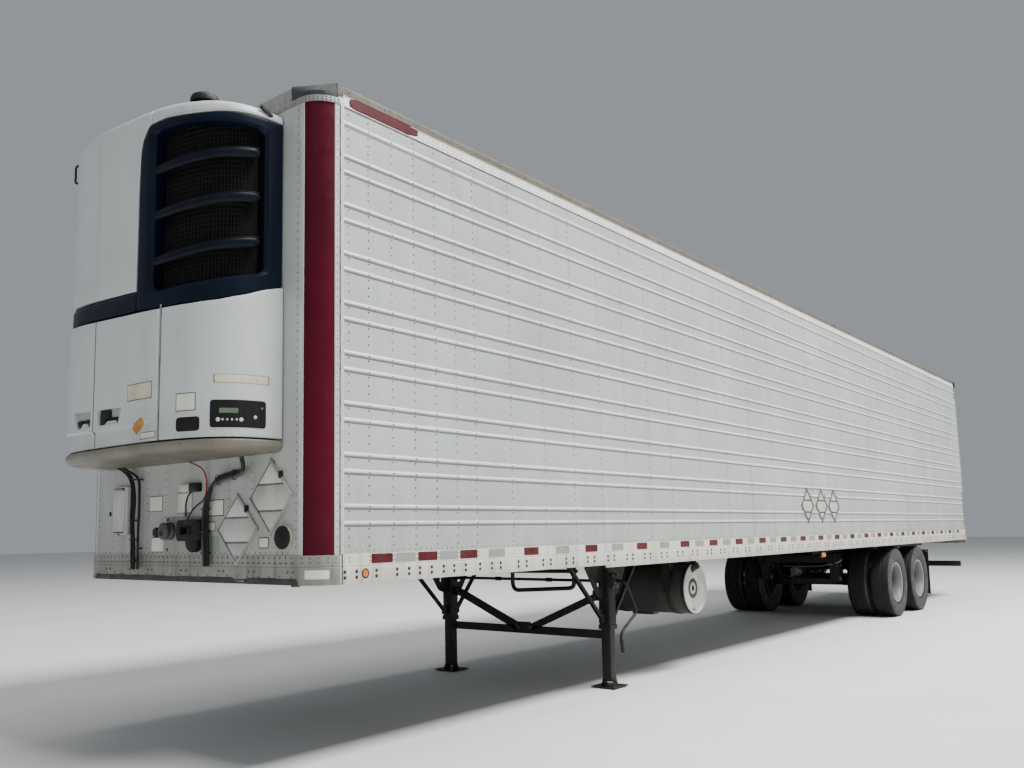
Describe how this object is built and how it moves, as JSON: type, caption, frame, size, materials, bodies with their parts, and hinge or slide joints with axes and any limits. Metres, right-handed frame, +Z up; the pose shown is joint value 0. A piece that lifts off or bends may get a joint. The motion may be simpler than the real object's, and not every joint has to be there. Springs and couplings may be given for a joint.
{
  "type": "53 ft refrigerated semi trailer",
  "caption": "Long box semi trailer with ribbed insulated sides, a nose-mounted cooling unit, landing legs, swinging rear doors and a sliding tandem of dual wheels.",
  "frame": {"origin": "on the ground, under the middle of the bounding box", "axes": "+X to the nose, +Y to the left side of the trailer, +Z up"},
  "size_m": [16.754, 2.6, 4.114],
  "materials": {
    "white_panel": "satin white sheet",
    "red_corner": "dark red paint",
    "aluminium": "weathered extrusion",
    "white_rail": "white paint over extrusion",
    "floor_aluminium": "scuffed",
    "white_door": "satin white sheet",
    "steel_frame": "worn stainless",
    "zinc": "zinc plated",
    "black_steel": "matt black paint",
    "steel": "bare worn steel",
    "tank_aluminium": "dull aluminium",
    "rubber": "black rubber",
    "connector_metal": "dirty cast metal",
    "liner_plastic": "moulded liner",
    "unit_white": "gloss white moulding",
    "unit_navy": "navy moulding",
    "unit_black": "black",
    "engine_metal": "cast",
    "tyre": "black rubber",
    "wheel_steel": "grey paint"
  },
  "bodies": {
    "trailer": {"connector_box": "connector_metal", "coupler_plate": "black_steel", "evaporator_housing": "liner_plastic", "floor_crossmembers": "black_steel", "floor_deck": "floor_aluminium", "front_bottom_rail": "aluminium", "front_corner_posts": "red_corner", "front_top_rail": "aluminium", "front_wall": "white_panel", "front_wall_fittings": "white_panel", "fuel_tank": "tank_aluminium", "fuel_tank_brackets": "black_steel", "hose_hanger": "black_steel", "kingpin": "steel", "landing_gear_crank": "black_steel", "landing_leg_bracing": "black_steel", "landing_legs": "black_steel", "left_side_wall": "white_panel", "rear_frame": "steel_frame", "rear_side_fairings": "white_panel", "rear_sill": "steel_frame", "right_side_wall": "white_panel", "roof_panel": "aluminium", "side_bottom_rails": "white_rail", "side_top_rails": "aluminium", "slider_rails": "black_steel", "underride_guard": "black_steel", "unit_back_plate": "unit_black", "unit_base_pan": "unit_white", "unit_condenser": "unit_black", "unit_conduits": "rubber", "unit_control_panel": "unit_black", "unit_engine": "engine_metal", "unit_grille_frame": "unit_navy", "unit_right_panel": "unit_white", "unit_upper_panels": "unit_white"},
    "rear_door_left": {"rear_left_door": "white_door", "left_lock_rods": "zinc"},
    "rear_door_right": {"rear_right_door": "white_door", "right_lock_rods": "zinc"},
    "unit_door_left": {"unit_left_door": "unit_white"},
    "unit_door_centre": {"unit_centre_door": "unit_white"},
    "tandem": {"bogie_frame": "black_steel", "suspension_arms": "black_steel", "air_springs": "rubber", "axles": "black_steel", "brake_chambers": "black_steel", "mud_flaps": "rubber"},
    "front_left_wheel_set": {"front_left_tyres": "tyre", "front_left_wheels": "wheel_steel"},
    "front_right_wheel_set": {"front_right_tyres": "tyre", "front_right_wheels": "wheel_steel"},
    "rear_left_wheel_set": {"rear_left_tyres": "tyre", "rear_left_wheels": "wheel_steel"},
    "rear_right_wheel_set": {"rear_right_tyres": "tyre", "rear_right_wheels": "wheel_steel"}
  },
  "joints": [
    {"name": "tandem_slide", "type": "slide", "parent": "trailer", "child": "tandem", "axis": [1, 0, 0], "range_m": [-2.2, 0.6]},
    {"name": "rear_left_door_hinge", "type": "hinge", "parent": "trailer", "child": "rear_door_left", "pos_m": [-8.353, 1.27, 2.66], "axis": [0, 0, -1], "range_deg": [0, 265]},
    {"name": "rear_right_door_hinge", "type": "hinge", "parent": "trailer", "child": "rear_door_right", "pos_m": [-8.353, -1.27, 2.66], "axis": [0, 0, 1], "range_deg": [0, 265]},
    {"name": "unit_left_door_hinge", "type": "hinge", "parent": "trailer", "child": "unit_door_left", "pos_m": [7.881, -0.985, 2.38], "axis": [0, 0, -1], "range_deg": [0, 90]},
    {"name": "unit_centre_door_hinge", "type": "hinge", "parent": "trailer", "child": "unit_door_centre", "pos_m": [8.3459, 0.462, 2.38], "axis": [0, 0, 1], "range_deg": [0, 100]},
    {"name": "front_left_wheel_spin", "type": "hinge", "parent": "tandem", "child": "front_left_wheel_set", "pos_m": [-3.543, 0.984, 0.508], "axis": [0, 1, 0], "continuous": true},
    {"name": "front_right_wheel_spin", "type": "hinge", "parent": "tandem", "child": "front_right_wheel_set", "pos_m": [-3.543, -0.984, 0.508], "axis": [0, 1, 0], "continuous": true},
    {"name": "rear_left_wheel_spin", "type": "hinge", "parent": "tandem", "child": "rear_left_wheel_set", "pos_m": [-4.788, 0.984, 0.508], "axis": [0, 1, 0], "continuous": true},
    {"name": "rear_right_wheel_spin", "type": "hinge", "parent": "tandem", "child": "rear_right_wheel_set", "pos_m": [-4.788, -0.984, 0.508], "axis": [0, 1, 0], "continuous": true}
  ]
}
